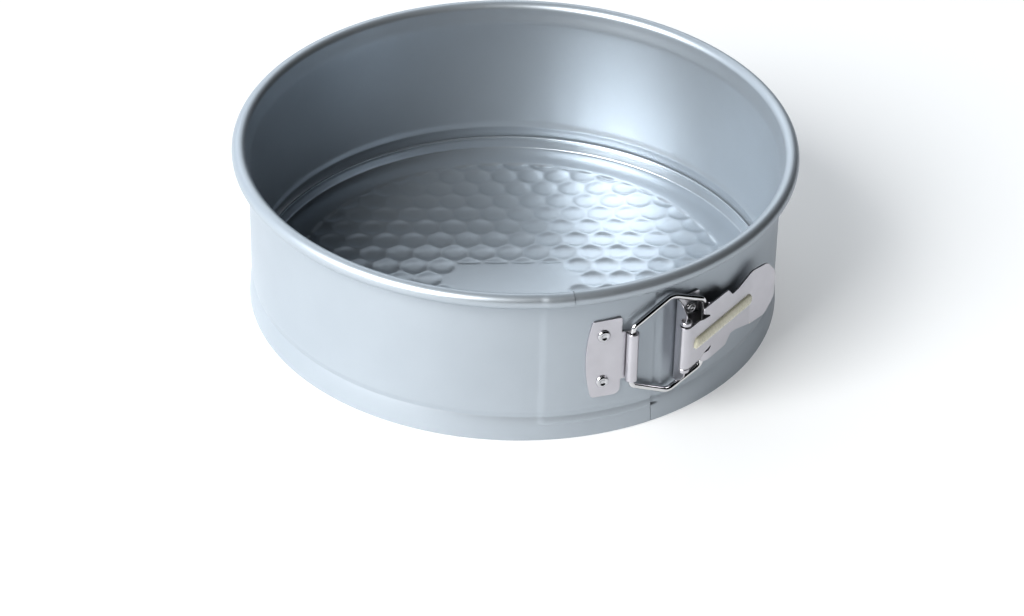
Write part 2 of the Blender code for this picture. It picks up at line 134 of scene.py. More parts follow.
# The bail wire: its radius, and its leg behind the lever as a radius and an azimuth.
WIRE = 1.25
WIRE_FAR_LEG = (WALL_MIDDLE + 4.15, 41.8)
# Its corners: the middle pair's place as a share of its length, and the heights of its three pairs.
BAIL_MIDDLE = 0.53
BAIL_NEAR_RISE = 14.4
BAIL_BEND_RISE = 23.9
BAIL_FAR_RISE = 16.4
# The lever: the azimuth whose tangent its blade follows, its sheet, roll, length, thumb pad and rib.
LEVER_DIRECTION = 55.0
LEVER_SHEET = 0.7
LEVER_ROLL = 2.3
ROLL_TURN = 235.0
LEVER_LENGTH = 62.0
PAD_START = 46.0
PAD_TILT = 8.0
RIB_FROM = 5.5
RIB_TO = 44.0
RIB_HALF = 2.8
RIB_RISE = 1.3
# Its lower tab, from the free end to the root, and a line in the slit above it at those two places.
TAB_END = 10.8
TAB_ROOT = 16.8
TAB_TOP = (-9.3, -7.7)
TAB_CURL = 1.8
# Its hooks: their path along the lever and outward from its pivot, their half width and their height.
HOOK_PATH = [
    (16.9, 2.2), (15.6, 1.7), (15.15, 1.0), (15.15, -2.1), (14.9, -2.7), (14.3, -2.95), (12.4, -2.95),
]
HOOK_HALF = 2.1
HOOK_RISE = 12.0
# The bracket: a foot along the wall, a standing flange, and two ears with eyes round the pin.
BRACKET_SHEET = 0.7
BRACKET_RADIUS = WALL_MIDDLE + SHEET / 2 + 0.35 + BRACKET_SHEET / 2
BRACKET_AZIMUTH = 35.8
BRACKET_HALF = 20.0
BRACKET_BEND = 1.0
BRACKET_RIVET_AZIMUTH = 39.4
EAR_REACH = 123.3
EAR_GAP = 10.75
EYE_INSIDE = 1.65
EYE_OUTSIDE = 2.3
EYE_HEIGHT = 1.85
EYE_ROUNDING = 0.2
# The pin's radius and half length, and the rivets' heights.
PIN = 1.3
PIN_HALF = 12.3
PLATE_RIVET_RISE = 11.4
BRACKET_RIVET_RISE = 12.9

# The light, in metres: the sky's strength rises from To Min to To Max as a direction turns to SKY_TOWARDS.
SKY_TOWARDS = (-0.8, 0.5, -0.1)
SKY = {"From Min": -0.35, "From Max": 0.8, "To Min": 0.0, "To Max": 1.1}
SKY_COLOUR = (0.86, 0.93, 1.0, 1.0)
LAMP_TARGET = (0.0, 0.0, 0.03)
KEY_PLACE = (-2.2, -2.0, 2.4)
KEY_SIZE = (2.4, 2.4)
KEY_POWER = 219.0
KEY_COLOUR = (1.0, 0.99, 0.97)
BACK_PLACE = (-0.5, 2.5, 1.75)
BACK_SIZE = (3.0, 1.2)
BACK_POWER = 12.0
BACK_COLOUR = (0.97, 0.99, 1.0)
FLOOR_SIDE = 12.0
FLOOR_COLOUR = (0.52, 0.525, 0.53, 1.0)
FLOOR_GLOW_COLOUR = (0.97, 0.985, 1.0, 1.0)
FLOOR_GLOW = 0.45
DISPLAY_GAMMA = 0.76

# The camera: distance and aim from the pan's middle, in millimetres and degrees.
CAMERA_DISTANCE = 1519.7
CAMERA_TARGET_HEIGHT = 40.69
CAMERA_ELEVATION = 33.0
CAMERA_TILT = -1.6673
CAMERA_ROLL = 1.31
CAMERA_LENS = 122.5


def curve_through(table, x):
    """Smooth curve through (x, y) points in rising order of x, level beyond both ends."""
    if x <= table[0][0]:
        return table[0][1]
    if x >= table[-1][0]:
        return table[-1][1]
    i = max(k for k in range(len(table) - 1) if table[k][0] <= x)
    slopes = []
    for k in (i, i + 1):
        before, after = table[max(k - 1, 0)], table[min(k + 1, len(table) - 1)]
        slopes.append((after[1] - before[1]) / (after[0] - before[0]))
    (x0, y0), (x1, y1) = table[i], table[i + 1]
    t, span = (x - x0) / (x1 - x0), x1 - x0
    return (y0 * (1 + 2 * t) * (1 - t) ** 2 + y1 * t * t * (3 - 2 * t)
            + slopes[0] * span * t * (1 - t) ** 2 - slopes[1] * span * t * t * (1 - t))


def place(radius, azimuth, height=0.0):
    """Point at a distance from the ring's axis, an azimuth and a height."""
    angle = math.radians(azimuth)
    return Vector((radius * math.sin(angle), -radius * math.cos(angle), height))


def to_world(azimuth, along, outward, height):
    """Point in the frame at an azimuth: along the ring, outward from its axis, and up."""
    angle = math.radians(azimuth)
    x = along * math.cos(angle) + outward * math.sin(angle)
    y = along * math.sin(angle) - outward * math.cos(angle)
    return Vector((x, y, height))


def ease(value, start, end):
    """0 before start, 1 after end, smooth between."""
    t = min(1.0, max(0.0, (value - start) / (end - start)))
    return t * t * (3.0 - 2.0 * t)


def arc(centre, radius, first, last, steps):
    """Points of an arc in a plane, angles in degrees."""
    points = []
    for i in range(steps + 1):
        angle = math.radians(first + (last - first) * i / steps)
        points.append((centre[0] + radius * math.cos(angle), centre[1] + radius * math.sin(angle)))
    return points


def rounded(corners, steps=6):
    """Closed polygon of (x, y, radius) corners with each corner replaced by an arc."""
    points = []
    count = len(corners)
    for i, (x, y, radius) in enumerate(corners):
        corner = Vector((x, y))
        if radius <= 0.0:
            points.append((x, y))
            continue
        before = (Vector(corners[i - 1][:2]) - corner).normalized()
        after = (Vector(corners[(i + 1) % count][:2]) - corner).normalized()
        half = before.angle(after) / 2
        middle = corner + (before + after).normalized() * (radius / math.sin(half))
        start = corner + before * (radius / math.tan(half)) - middle
        end = corner + after * (radius / math.tan(half)) - middle
        turn = start.angle_signed(end)
        for k in range(steps + 1):
            spoke = start.copy()
            spoke.rotate(Matrix.Rotation(-turn * k / steps, 2))
            points.append(tuple(middle + spoke))
    return points


def even_levels(first, last, step):
    """Evenly spaced values from first to last, no further apart than step."""
    count = max(1, math.ceil(abs(last - first) / step - 1e-9))
    return [first + (last - first) * i / count for i in range(count + 1)]


def make_object(name, points, faces, material, sharp=40.0):
    """Smooth-shaded mesh object from points in millimetres."""
    mesh = bpy.data.meshes.new(name)
    mesh.from_pydata([(x * MM, y * MM, z * MM) for x, y, z in points], [], faces)
    mesh.validate()
    bm = bmesh.new()
    bm.from_mesh(mesh)
    bmesh.ops.recalc_face_normals(bm, faces=bm.faces)
    bm.to_mesh(mesh)
    bm.free()
    mesh.materials.append(material)
    mesh.shade_smooth()
    mesh.set_sharp_from_angle(angle=math.radians(sharp))
    item = bpy.data.objects.new(name, mesh)
    bpy.context.scene.collection.objects.link(item)
    return item


def add_piece(item, body, slot_name, *nodes):
    """Attach an object to its body and hide the CAD nodes that it stands for; slot_name is not used."""
    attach(item, body)
    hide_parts(*nodes)
    return item


# ---------------------------------------------------------------- shapes from sheet, wire and bar


def resample(loop, step):
    """Closed loop with its long sides cut into pieces no longer than step."""
    points = []
    for first, second in zip(loop, loop[1:] + loop[:1]):
        a, b = Vector(first), Vector(second)
        count = max(1, math.ceil((b - a).length / step))
        points += [a.lerp(b, i / count) for i in range(count)]
    return points


def inward_normals(loop):
    """At each point of a loop the direction into the material, which lies on the loop's left."""
    normals = []
    for i, point in enumerate(loop):
        before = (point - loop[i - 1]).normalized()
        after = (loop[(i + 1) % len(loop)] - point).normalized()
        first, second = Vector((-before.y, before.x)), Vector((-after.y, after.x))
        middle = (first + second).normalized()
        normals.append(middle / max(0.6, middle.dot(first)))
    return normals


def area_sign(loop):
    """Positive for a loop that runs counter-clockwise."""
    return sum(a[0] * b[1] - b[0] * a[1] for a, b in zip(loop, loop[1:] + loop[:1]))


def is_inside(point, loop):
    """Whether a point in the plane lies inside a closed loop."""
    inside = False
    for a, b in zip(loop, loop[1:] + loop[:1]):
        if (a.y > point.y) != (b.y > point.y):
            if point.x < a.x + (point.y - a.y) / (b.y - a.y) * (b.x - a.x):
                inside = not inside
    return inside


def loop_distance(point, loop):
    """Distance from a point in the plane to a closed loop."""
    best = 1e9
    for a, b in zip(loop, loop[1:] + loop[:1]):
        side = b - a
        t = min(1.0, max(0.0, (point - a).dot(side) / max(side.length_squared, 1e-12)))
        best = min(best, (point - a - side * t).length)
    return best


def pressed_sheet(name, outline, thickness, bend, material, step, extra=(), edge=0.2):
    """Flat outline, filled with a grid, given thickness and rounded edges, then bent.

    bend(s, v, n) turns a place on the flat sheet and a height above its middle into a point. The grid keeps
    clear of the outline and of the extra points, which are added where the sheet needs more detail.
    """
    outline = list(outline)
    if area_sign(outline) < 0:
        outline.reverse()
    loop = resample(outline, step)
    normals = inward_normals(loop)
    inset = [p + n * edge for p, n in zip(loop, normals)]
    size = len(loop)
    clearance = 0.45 * step
    flat = list(inset)
    xs, ys = [p.x for p in inset], [p.y for p in inset]
    for x in even_levels(min(xs), max(xs), step)[1:-1]:
        for y in even_levels(min(ys), max(ys), step)[1:-1]:
            point = Vector((x, y))
            if not is_inside(point, inset) or loop_distance(point, inset) < clearance:
                continue
            if any((point - other).length < clearance for other in extra):
                continue
            flat.append(point)
    flat += list(extra)
    flat, _, triangles, _, _, _ = delaunay_2d_cdt(flat, [], [list(range(size))], 2, 1e-6)
    rings = []
    for k in range(9):
        # Four steps round the upper edge, then the lower edge as its mirror image.
        turn = math.radians(min(k, 8 - k) * 22.5)
        height = thickness / 2 - edge * (1 - math.cos(turn))
        rings.append((edge * (1 - math.sin(turn)), height if k <= 4 else -height))
    points = [bend(p.x, p.y, thickness / 2) for p in flat]
    points += [bend(p.x, p.y, -thickness / 2) for p in flat]
    count = len(flat)
    faces = [tuple(t) for t in triangles] + [tuple(count + i for i in reversed(t)) for t in triangles]
    levels = [list(range(size))]
    for inward, height in rings[1:-1]:
        levels.append(list(range(len(points), len(points) + size)))
        points += [bend(*(p + n * inward), height) for p, n in zip(loop, normals)]
    levels.append(list(range(count, count + size)))
    for upper, lower in zip(levels, levels[1:]):
        for i in range(size):
            j = (i + 1) % size
            faces.append((upper[i], lower[i], lower[j], upper[j]))
    return make_object(name, points, faces, material)


def wire_loop(name, path, radius, material, sides=20):
    """Round wire along a closed path of points."""
    count = len(path)
    rings, normal = [], None
    for i, point in enumerate(path):
        direction = (path[(i + 1) % count] - path[i - 1]).normalized()
        if normal is None:
            normal = direction.cross(Vector((0, 0, 1)))
            if normal.length < 0.1:
                normal = direction.cross(Vector((1, 0, 0)))
        normal = (normal - direction * normal.dot(direction)).normalized()
        side = direction.cross(normal)
        angles = [2 * math.pi * k / sides for k in range(sides)]
        rings.append([point + (normal * math.cos(a) + side * math.sin(a)) * radius for a in angles])
    points = [p for ring in rings for p in ring]
    faces = []
    for i in range(count):
        a, b = i * sides, ((i + 1) % count) * sides
        faces += [(a + k, a + (k + 1) % sides, b + (k + 1) % sides, b + k) for k in range(sides)]
    return make_object(name, points, faces, material)


def turned_piece(name, profile, base, axis, material, sides=48, closed=False):
    """Solid turned about an axis from a (radius, height) profile: a loop, or a line with ends on the axis."""
    turn = Vector((0, 0, 1)).rotation_difference(Vector(axis).normalized()).to_matrix()
    points, faces, rows = [], [], []
    for radius, height in profile:
        if radius <= 0.0:
            rows.append([len(points)] * sides)
            points.append(base + turn @ Vector((0, 0, height)))
            continue
        rows.append(list(range(len(points), len(points) + sides)))
        for k in range(sides):
            angle = 2 * math.pi * k / sides
            points.append(base + turn @ Vector((radius * math.cos(angle), radius * math.sin(angle), height)))
    if closed:
        rows.append(rows[0])
    for lower, upper in zip(rows, rows[1:]):
        for k in range(sides):
            j = (k + 1) % sides
            corners = [lower[k], lower[j], upper[j], upper[k]]
            faces.append(tuple(dict.fromkeys(corners)))
    return make_object(name, points, faces, material)


def join(first, *others):
    """One object from several that share a material."""
    bm = bmesh.new()
    for item in (first, *others):
        bm.from_mesh(item.data)
    bm.to_mesh(first.data)
    bm.free()
    for item in others:
        bpy.data.objects.remove(item, do_unlink=True)
    return first


# ---------------------------------------------------------------- materials


def new_material(name):
    """Material with nodes, and its nodes and links."""
    material = bpy.data.materials.new(name)
    material.use_nodes = True
    return material, material.node_tree.nodes, material.node_tree.links


def add_noise(nodes, links, scale, stretch, detail=3.0):
    """Noise read from object coordinates, so that it sits still on the piece."""
    coordinates = nodes.new("ShaderNodeTexCoord")
    mapping = nodes.new("ShaderNodeMapping")
    mapping.inputs["Scale"].default_value = stretch
    noise = nodes.new("ShaderNodeTexNoise")
    noise.inputs["Scale"].default_value = scale
    noise.inputs["Detail"].default_value = detail
    links.new(coordinates.outputs["Object"], mapping.inputs["Vector"])
    links.new(mapping.outputs["Vector"], noise.inputs["Vector"])
    return noise


def add_range(nodes, links, source, low, high):
    """Spread a noise's usual values over low to high."""
    spread = nodes.new("ShaderNodeMapRange")
    spread.inputs["From Min"].default_value = 0.3
    spread.inputs["From Max"].default_value = 0.7
    spread.inputs["To Min"].default_value = low
    spread.inputs["To Max"].default_value = high
    links.new(source, spread.inputs["Value"])
    return spread


def metal(name, dark, light, roughness, grain, cloud, bump, metallic=1.0):
    """Metal whose colour drifts over broad clouds and whose roughness and surface follow a fine grain.

    roughness is a (low, high) pair; grain and cloud are (scale, stretch) pairs; bump is a height in metres.
    """
    material, nodes, links = new_material(name)
    shader = nodes["Principled BSDF"]
    shader.inputs["Metallic"].default_value = metallic
    broad = add_noise(nodes, links, *cloud)
    ramp = nodes.new("ShaderNodeValToRGB")
    ramp.color_ramp.elements[0].position = 0.3
    ramp.color_ramp.elements[0].color = (*dark, 1.0)
    ramp.color_ramp.elements[1].position = 0.7
    ramp.color_ramp.elements[1].color = (*light, 1.0)
    links.new(broad.outputs["Fac"], ramp.inputs["Fac"])
    links.new(ramp.outputs["Color"], shader.inputs["Base Color"])
    fine = add_noise(nodes, links, *grain)
    spread = add_range(nodes, links, fine.outputs["Fac"], *roughness)
    links.new(spread.outputs["Result"], shader.inputs["Roughness"])
    relief = nodes.new("ShaderNodeBump")
    relief.inputs["Distance"].default_value = bump
    links.new(fine.outputs["Fac"], relief.inputs["Height"])
    links.new(relief.outputs["Normal"], shader.inputs["Normal"])
    return material


def make_materials():
    """One material for each finish, and a cream painted highlight for the crest of the lever's rib."""
    even = (1.0, 1.0, 1.0)
    return {
        "coat": metal("coated_steel", (0.49, 0.53, 0.57), (0.51, 0.55, 0.59), (0.39, 0.43),
                      (1400.0, even), (30.0, even), 0.00001, 0.65),
        "base": metal("coated_base", (0.49, 0.53, 0.57), (0.51, 0.55, 0.59), (0.28, 0.32),
                      (1400.0, even), (30.0, even), 0.00001, 0.65),
        "nickel": metal("satin_nickel", (0.60, 0.59, 0.62), (0.64, 0.63, 0.66), (0.28, 0.31),
                        (500.0, even), (90.0, even), 0.000002, 0.9),
        # The rib's cream colour is a painted highlight: a painted reflection of the warm lamp on the rib's
        # crest, not the metal's own colour.
        "rib": metal("rib_crest_painted_highlight", (0.96, 0.93, 0.76), (0.98, 0.95, 0.80), (0.25, 0.3),
                     (900.0, even), (120.0, even), 0.000002, 0.0),
        "chrome": metal("bright_chrome", (0.68, 0.68, 0.69), (0.72, 0.72, 0.72), (0.08, 0.11),
                        (700.0, even), (80.0, even), 0.000002),
        "rivet": metal("satin_chrome", (0.62, 0.62, 0.64), (0.66, 0.66, 0.67), (0.20, 0.24),
                       (700.0, even), (80.0, even), 0.000002),
    }


# ---------------------------------------------------------------- the ring


def strip_profile():
    """Middle line of the strip as (radius, height) from the skirt's edge up to the curl's free end."""
    heights = [0.3, 1.0] + even_levels(2.0, 7.0, 1.0) + even_levels(7.4, TONGUE_FOOT, 0.3)
    heights += even_levels(TONGUE_FOOT + 0.3, 10.3, 0.4) + even_levels(10.5, 12.5, 0.2)
    heights += even_levels(12.9, 15.7, 0.4) + even_levels(17.0, FLARE_START - 1.0, 5.0)
    line = [(WALL_MIDDLE + curve_through(SKIRT, z), z) for z in heights]
    inner = CURL_CENTRE - CURL_RADIUS
    for z in [FLARE_START, STRIP_TOP] + even_levels(STRIP_TOP + 0.6, CURL_HEIGHT - 0.6, 0.6):
        line.append((WALL_MIDDLE + (inner - WALL_MIDDLE) * ease(z, FLARE_START - 1.0, CURL_HEIGHT + 1.2), z))
    start = math.degrees(math.asin(0.1))
    line += arc((CURL_CENTRE, CURL_HEIGHT), CURL_RADIUS, 180 - start, -130, CURL_STEPS)
    return line


def strip_shift(azimuth, height):
    """How far the strip stands off its circle where its two ends overlap."""
    below_curl = 1.0 - ease(height, STRIP_TOP, STRIP_TOP + 2.6)
    above_step = ease(height, TONGUE_FOOT - 1.0, TONGUE_FOOT)
    inner = TONGUE_SHIFT * (1.0 - ease(azimuth, SEAM + 0.3, SEAM + 2.4)) * below_curl * above_step
    outer = OUTER_BULGE * ease(azimuth - 360.0, TONGUE_END - 1.6, TONGUE_END + 0.4) * above_step
    return inner + outer


def strip_has(azimuth, height, on_curl):
    """Whether the strip exists at a place: its inner end is a tongue, and its outer end has no curl."""
    if azimuth < CURL_SEAM + SEAM_GAP / 2:
        return TONGUE_FOOT < height < STRIP_TOP and not on_curl
    if azimuth < SEAM + SEAM_GAP / 2:
        return height > TONGUE_FOOT or on_curl
    if azimuth < 360.0 + CURL_SEAM - SEAM_GAP / 2:
        return True
    return height < STRIP_TOP and not on_curl


def make_ring(materials):
    """The whole strip as one bent sheet, from its inner end round to its outer one."""
    profile = strip_profile()
    stops = [
        TONGUE_END, CURL_SEAM + SEAM_GAP / 2, SEAM + SEAM_GAP / 2, SEAM + 3.0, 360.0 + TONGUE_END - 2.0,
        360.0 + TONGUE_END + 0.8, 360.0 + CURL_SEAM - SEAM_GAP / 2, 360.0 + SEAM - SEAM_GAP,
    ]
    # Closer stations in the two spans where the strip steps in or out.
    fine = {2, 4}
    stations = [stops[0]]
    for i, (first, last) in enumerate(zip(stops, stops[1:])):
        stations += even_levels(first, last, 0.3 if i in fine else 1.0)[1:]
    curl_from = len(profile) - CURL_STEPS
    points = []
    for azimuth in stations:
        for radius, height in profile:
            points.append(place(radius + strip_shift(azimuth, height), azimuth, height))
    rows = len(profile)
    faces = []
    for i, (azimuth, following) in enumerate(zip(stations, stations[1:])):
        for j in range(rows - 1):
            height = (profile[j][1] + profile[j + 1][1]) / 2
            if strip_has((azimuth + following) / 2, height, j >= curl_from):
                a = i * rows + j
                faces.append((a, a + 1, a + rows + 1, a + rows))
    used = sorted({v for face in faces for v in face})
    number = {v: k for k, v in enumerate(used)}
    faces = [tuple(number[v] for v in face) for face in faces]
    item = make_object("ring_band", [points[v] for v in used], faces, materials["coat"])
    shell = item.modifiers.new("Sheet", "SOLIDIFY")
    shell.thickness = SHEET * MM
    shell.offset = 0.0
    shell.use_even_offset = True
    apply_modifiers(item)
    item.data.shade_smooth()
    item.data.set_sharp_from_angle(angle=math.radians(40))
    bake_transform(item)
    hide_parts("band_left", "band_right")
    return item


def apply_modifiers(item):
    """Replace an object's mesh by the one that its modifiers make."""
    graph = bpy.context.evaluated_depsgraph_get()
    made = bpy.data.meshes.new_from_object(item.evaluated_get(graph))
    item.modifiers.clear()
    item.data = made


# ---------------------------------------------------------------- the base plate


def field_place(x, y):
    """Turn a plan point of the base into the dimple pattern's own axes."""
    angle = math.radians(FIELD_TURN)
    return (x * math.cos(angle) + y * math.sin(angle) - FIELD_ORIGIN[0],
            y * math.cos(angle) - x * math.sin(angle) - FIELD_ORIGIN[1])


def base_level(x, y):
    """Height of the base's upper side: dimples in a hexagonal pattern round a plain panel."""
    across, up = field_place(x, y)
    row_pitch = PITCH * math.sqrt(3) / 2
    best, cell = 1e9, (0, 0.0)
    for row in range(round(up / row_pitch) - 1, round(up / row_pitch) + 2):
        offset = (row % 2) * PITCH / 2
        middle = round((across - offset) / PITCH) * PITCH + offset
        distance = math.hypot(across - middle, up - row * row_pitch)
        if distance < best:
            best, cell = distance, (row, middle)
    share = min(1.0, best / DIMPLE_RADIUS)
    depth = DIMPLE_DEPTH * (1.0 - share ** 3)
    if abs(cell[1]) < PANEL_CELLS.get(cell[0], 0.0):
        depth *= ease(abs(up) - PANEL_REACH, 0.0, 0.7) if cell[0] else 0.0
    return BASE_TOP - depth * (1.0 - ease(math.hypot(x, y), FIELD_RADIUS - 0.8, FIELD_RADIUS))


def field_lattice(reach):
    """Plan points of a fine triangular lattice lined up with the ridges between the dimples."""
    spacing = PITCH / math.sqrt(3) / CELL_STEPS
    tall = spacing * math.sqrt(3) / 2
    angle = math.radians(FIELD_TURN)
    rows = int(reach / tall) + 5
    points = []
    for i in range(-rows, rows + 1):
        for j in range(-rows, rows + 1):
            point = Vector((i * tall + FIELD_ORIGIN[0], (j + (i % 2) * 0.5) * spacing + FIELD_ORIGIN[1]))
            point.rotate(Matrix.Rotation(angle, 2))
            if point.length < reach:
                points.append(point)
    return points


def make_base(materials):
    """Dimpled floor with its underside a sheet's thickness below, and the raised edge as rings round it."""
    flat = field_lattice(FIELD_RADIUS - 1.2)
    sides = 360
    rings = [FIELD_RADIUS + beyond for beyond in (-0.8, -0.4, 0.0, 1.5, 5.6, 9.6)] + [FLOOR_EDGE]
    for radius in rings:
        flat += [place(radius, 360.0 * k / sides).to_2d() for k in range(sides)]
    flat, _, triangles, _, _, _ = delaunay_2d_cdt(flat, [], [], 0, 1e-6)
    count = len(flat)
    upper = [(p.x, p.y, base_level(p.x, p.y)) for p in flat]
    lower = [(x, y, max(0.0, z - BASE_SHEET)) for x, y, z in upper]
    points = upper + lower
    faces = [tuple(t) for t in triangles] + [tuple(count + i for i in reversed(t)) for t in triangles]
    outline = [i for i, p in enumerate(flat) if p.length > FLOOR_EDGE - 0.05]
    outline.sort(key=lambda i: math.atan2(flat[i].x, -flat[i].y))
    loops = [outline]
    for radius, height in dish_edge():
        loops.append(list(range(len(points), len(points) + sides)))
        for i in outline:
            direction = flat[i].normalized()
            points.append((direction.x * radius, direction.y * radius, height))
    loops.append([count + i for i in outline])
    for first, second in zip(loops, loops[1:]):
        for k in range(sides):
            j = (k + 1) % sides
            faces.append((first[k], second[k], second[j], first[j]))
    item = make_object("base", points, faces, materials["base"], sharp=60.0)
    return add_piece(item, "plate", "coated_steel", "base_plate")


def dish_edge():
    """Profile from the floor's edge over the crease, up the slope, round the hemmed lip and back below."""
    slope_foot = (FOOT_RADIUS + 0.35, BASE_TOP + 0.5)
    slope_top = (EDGE_RADIUS - 0.75, EDGE_HEIGHT - 0.8)
    line = [(FOOT_RADIUS - 0.3, BASE_TOP), (FOOT_RADIUS - 0.05, BASE_TOP + 0.03),
            (FOOT_RADIUS + 0.17, BASE_TOP + 0.16), slope_foot]
    line += [(slope_foot[0] + (slope_top[0] - slope_foot[0]) * t,
              slope_foot[1] + (slope_top[1] - slope_foot[1]) * t) for t in (0.25, 0.5, 0.75, 1.0)]
    line += arc((EDGE_RADIUS - 0.2, EDGE_HEIGHT - 0.55), 0.62, 190, -60, 14)
    line += [(EDGE_RADIUS - 0.05, EDGE_HEIGHT - 1.6), (FOOT_RADIUS + 1.35, 2.4), (FOOT_RADIUS + 0.95, 1.1),
             (FOOT_RADIUS + 0.6, 0.35), (FOOT_RADIUS + 0.2, 0.06), (FOOT_RADIUS - 0.3, 0.1)]
    return line


# ---------------------------------------------------------------- the latch


def make_hinge_plate(materials):
    """Riveted plate that follows the wall and is rolled round the bail wire at one end."""
    def bend(s, v, n):
        if s <= KNUCKLE_ALONG:
            drop = PLATE_RADIUS - math.sqrt(PLATE_RADIUS ** 2 - min(s, 0.0) ** 2)
            return to_world(PLATE_AZIMUTH, s, PLATE_RADIUS - drop + n, LATCH_HEIGHT + v)
        angle = (s - KNUCKLE_ALONG) / KNUCKLE_RADIUS - math.pi / 2
        radius = KNUCKLE_RADIUS - n
        along = KNUCKLE_ALONG + radius * math.cos(angle)
        outward = PLATE_RADIUS + KNUCKLE_RADIUS + radius * math.sin(angle)
        return to_world(PLATE_AZIMUTH, along, outward, LATCH_HEIGHT + v)

    end = KNUCKLE_ALONG + KNUCKLE_RADIUS * math.radians(KNUCKLE_TURN)
    left = [(x, y, 0.0) for x, y in arc((62.6, 0.0), 70.0, 164.3, 195.9, 20)]
    left[0] = (*left[0][:2], 1.2)
    left[-1] = (*left[-1][:2], 1.8)
    right = [
        (PLATE_SIDE, -PLATE_HALF, 3.0), (PLATE_SIDE, -KNUCKLE_HALF, 0.6), (end, -KNUCKLE_HALF, 0.5),
        (end, KNUCKLE_HALF, 0.5), (PLATE_SIDE, KNUCKLE_HALF, 0.6), (PLATE_SIDE, PLATE_HALF, 1.2),
    ]
    item = pressed_sheet("hinge_plate_pressed", rounded(left + right), PLATE_SHEET, bend,
                         materials["nickel"], 0.8)
    return add_piece(item, "ring", "nickel_plate", "hinge_plate")


def make_bail(materials):
    """Closed six-sided wire loop: one leg in the rolled knuckle, the other behind the lever."""
    reach = place(*WIRE_FAR_LEG, LATCH_HEIGHT) - KNUCKLE_AXIS
    length = reach.length
    along = reach.normalized()
    middle = BAIL_MIDDLE * length
    upper = [(0.0, BAIL_NEAR_RISE, 2.5), (middle, BAIL_BEND_RISE, 5.0), (length, BAIL_FAR_RISE, 3.5)]
    corners = upper + [(x, -y, r) for x, y, r in reversed(upper)]
    path = [KNUCKLE_AXIS + along * run + Vector((0, 0, rise)) for run, rise in rounded(corners, 10)]
    item = wire_loop("bail_wire_bent", path, WIRE, materials["chrome"])
    return add_piece(item, "bail", "chrome_wire", "bail_wire")


def lever_to_world(u, n, v):
    """Point in the lever's frame: along it, out from the wall, and up, from its pivot."""
    return LEVER_PIVOT + to_world(LEVER_DIRECTION, u, n, v)


def lever_from_world(point):
    """Opposite of lever_to_world."""
    angle = math.radians(LEVER_DIRECTION)
    x, y, z = point - LEVER_PIVOT
    return x * math.cos(angle) + y * math.sin(angle), x * math.sin(angle) - y * math.cos(angle), z


def lever_bend(s, v, n):
    """The lever's sheet: rolled round its pin, straight along its blade, and tilted out at the thumb pad."""
    if s < 0.0:
        angle = math.pi / 2 - s / LEVER_ROLL
        radius = LEVER_ROLL + n
        return lever_to_world(radius * math.cos(angle), radius * math.sin(angle), v)
    n += rib_height(s, v) - tab_drop(s, v)
    if s < PAD_START:
        return lever_to_world(s, LEVER_ROLL + n, v)
    tilt = math.radians(PAD_TILT)
    beyond = s - PAD_START
    return lever_to_world(PAD_START + beyond * math.cos(tilt) - n * math.sin(tilt),
                          LEVER_ROLL + beyond * math.sin(tilt) + n * math.cos(tilt), v)


def tab_drop(s, v):
    """How far the lower tab curls in towards the wall, from its root to its free end."""
    share = (s - TAB_END) / (TAB_ROOT - TAB_END)
    slit = TAB_TOP[0] + (TAB_TOP[1] - TAB_TOP[0]) * share
    return TAB_CURL * (1.0 - share) ** 2 if 0.0 < share < 1.0 and v <= slit else 0.0


def rib_distance(s, v):
    """Distance on the flat lever from the rib's middle line."""
    return math.hypot(s - min(RIB_TO, max(RIB_FROM, s)), v)


def rib_height(s, v):
    """Half-round stiffening rib pressed into the lever."""
    share = rib_distance(s, v) / RIB_HALF
    return RIB_RISE * math.sqrt(max(0.0, 1.0 - share * share)) if share < 1.0 else 0.0


def rib_points():
    """Places on the flat lever that lie in lines along the rib and round its ends."""
    points = []
    for share in (0.0, 0.3, 0.55, 0.75, 0.9, 1.0):
        for s in even_levels(RIB_FROM, RIB_TO, 0.8):
            points += [Vector((s, side * share * RIB_HALF)) for side in ((1, -1) if share else (1,))]
        if share:
            for centre, first in ((RIB_FROM, 90), (RIB_TO, -90)):
                curve = arc((centre, 0.0), share * RIB_HALF, first, first + 180, 10)
                points += [Vector(p) for p in curve[1:-1]]
    return points


def make_lever(materials):
    """Lever pressed from sheet, with a wedge-shaped slit above and below, and two hooks behind it."""
    start = -LEVER_ROLL * math.radians(ROLL_TURN)
    beyond = [
        (28.0, 13.9, 2.0), (31.5, 10.0, 1.5), (36.0, 10.4, 3.0), (47.0, 13.6, 4.0), (56.5, 13.2, 5.0),
        (LEVER_LENGTH, 6.5, 5.0),
    ]
    upper = [
        (start, 10.3, 0.5), (6.5, 10.2, 3.0), (9.3, 9.2, 0.8), (15.7, 8.1, 0.25), (13.0, 9.6, 1.5),
        (9.4, 11.7, 0.5), (9.4, 14.4, 1.0),
    ]
    lower = [
        (start, -10.3, 0.5), (9.0, -10.3, 0.8), (TAB_END, -8.8, 0.6), (TAB_ROOT, -7.5, 0.25),
        (15.0, -9.4, 1.2), (11.4, -9.9, 0.8), (11.0, -14.2, 1.6),
    ]
    tip = [(x, -y, r) for x, y, r in beyond]
    outline = rounded(lower + tip + (upper + beyond)[::-1])
    item = pressed_sheet("latch_lever_pressed", outline, LEVER_SHEET, lever_bend,
                         materials["nickel"], 0.8, rib_points())
    hooks = [make_hook(side, materials["nickel"]) for side in (1, -1)]
    item = join(item, *hooks)
    # The outward faces of the rib get the cream painted-highlight material, which stands in for the warm
    # lamp's reflection.
    item.data.materials.append(materials["rib"])
    blade = LEVER_ROLL + LEVER_SHEET / 2
    for face in item.data.polygons:
        u, n, _ = lever_from_world(face.center / MM)
        if n > blade + 0.08 and RIB_FROM - RIB_HALF < u < RIB_TO + RIB_HALF:
            face.material_index = 1
    return add_piece(item, "lever", "nickel_plate", "latch_lever")


